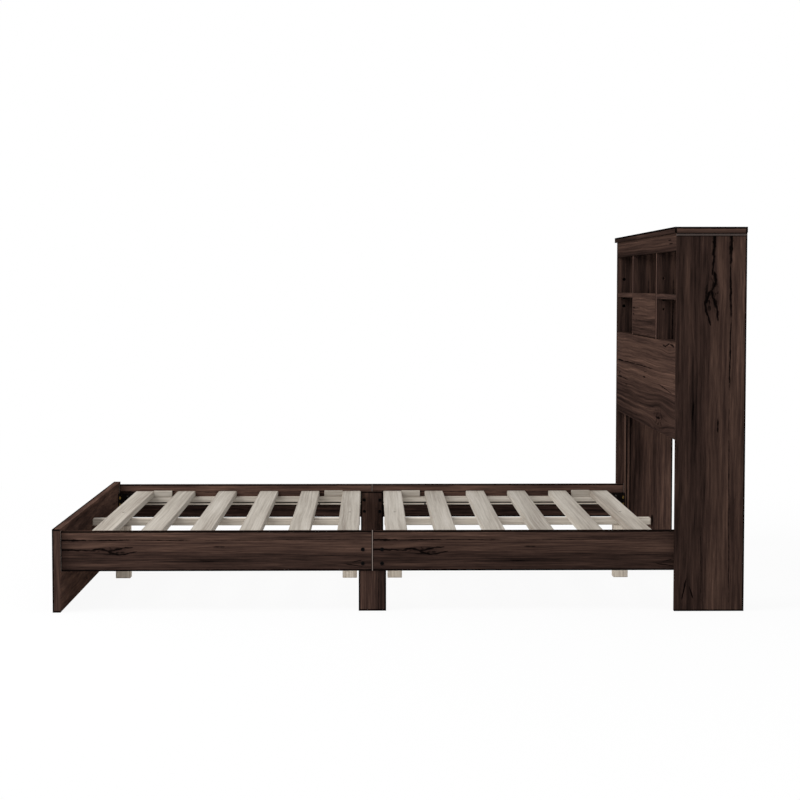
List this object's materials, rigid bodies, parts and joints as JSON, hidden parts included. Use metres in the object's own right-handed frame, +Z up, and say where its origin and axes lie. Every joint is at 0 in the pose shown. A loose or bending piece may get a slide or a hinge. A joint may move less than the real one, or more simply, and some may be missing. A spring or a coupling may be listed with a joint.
{
  "type": "bookcase headboard bed",
  "caption": "Full-size slatted platform bed with a plain low footboard and an open bookcase headboard that has a drop-front middle compartment.",
  "frame": {"origin": "middle of the bed's footprint on the floor, half way between the footboard's outer face and the headboard's back, and half way across", "axes": "+X along the bed from the footboard to the headboard, +Y across it to the left as seen from the foot, +Z up; the floor is z = 0"},
  "size_m": [2.16, 1.476, 1.2],
  "materials": {
    "dark_laminate": "dark rustic walnut-grain laminate on particle board",
    "pale_pine": "bare planed pine, greyed",
    "black_steel": "black powder coat",
    "brass_plate": "yellow-passivated steel",
    "zinc_steel": "zinc plated",
    "dark_bolt": "dark bronze plated steel",
    "white_nylon": "white nylon"
  },
  "bodies": {
    "root": {"apron": "dark_laminate", "back_panel": "dark_laminate", "bracket_bolts": "brass_plate", "bracket_screws": "zinc_steel", "cam_bolts": "zinc_steel", "cam_locks": "zinc_steel", "case_floor": "dark_laminate", "catch_magnets": "black_steel", "centre_beam_foot": "pale_pine", "centre_beam_head": "pale_pine", "centre_leg_1": "pale_pine", "centre_leg_2": "pale_pine", "centre_leg_3": "pale_pine", "centre_leg_4": "pale_pine", "corner_brackets": "black_steel", "divider_left": "dark_laminate", "divider_right": "dark_laminate", "door_bushes": "white_nylon", "footboard": "dark_laminate", "frame_blocks": "pale_pine", "ledgers": "pale_pine", "leg_board_left": "dark_laminate", "leg_board_right": "dark_laminate", "leg_screws": "zinc_steel", "long_screws": "zinc_steel", "lower_panel": "dark_laminate", "rail_foot_left": "dark_laminate", "rail_foot_right": "dark_laminate", "rail_head_left": "dark_laminate", "rail_head_right": "dark_laminate", "rail_leg_bolts": "dark_bolt", "rail_leg_left": "dark_laminate", "rail_leg_nuts": "dark_bolt", "rail_leg_right": "dark_laminate", "shelf_left": "dark_laminate", "shelf_middle": "dark_laminate", "shelf_pegs": "zinc_steel", "shelf_right": "dark_laminate", "side_beam_foot_left": "pale_pine", "side_beam_foot_right": "pale_pine", "side_beam_head_left": "pale_pine", "side_beam_head_right": "pale_pine", "side_panel_left": "dark_laminate", "side_panel_right": "dark_laminate", "slat_01": "pale_pine", "slat_02": "pale_pine", "slat_03": "pale_pine", "slat_04": "pale_pine", "slat_05": "pale_pine", "slat_06": "pale_pine", "slat_07": "pale_pine", "slat_08": "pale_pine", "slat_09": "pale_pine", "slat_10": "pale_pine", "slat_11": "pale_pine", "slat_12": "pale_pine", "top_board": "dark_laminate"},
    "door": {"drop_door": "dark_laminate", "door_pins": "zinc_steel", "catch_plates": "zinc_steel"}
  },
  "joints": [
    {"name": "door_swing", "type": "hinge", "parent": "root", "child": "door", "pos_m": [0.871, 0, 0.8496], "axis": [0, -1, 0], "range_deg": [0, 90]}
  ]
}
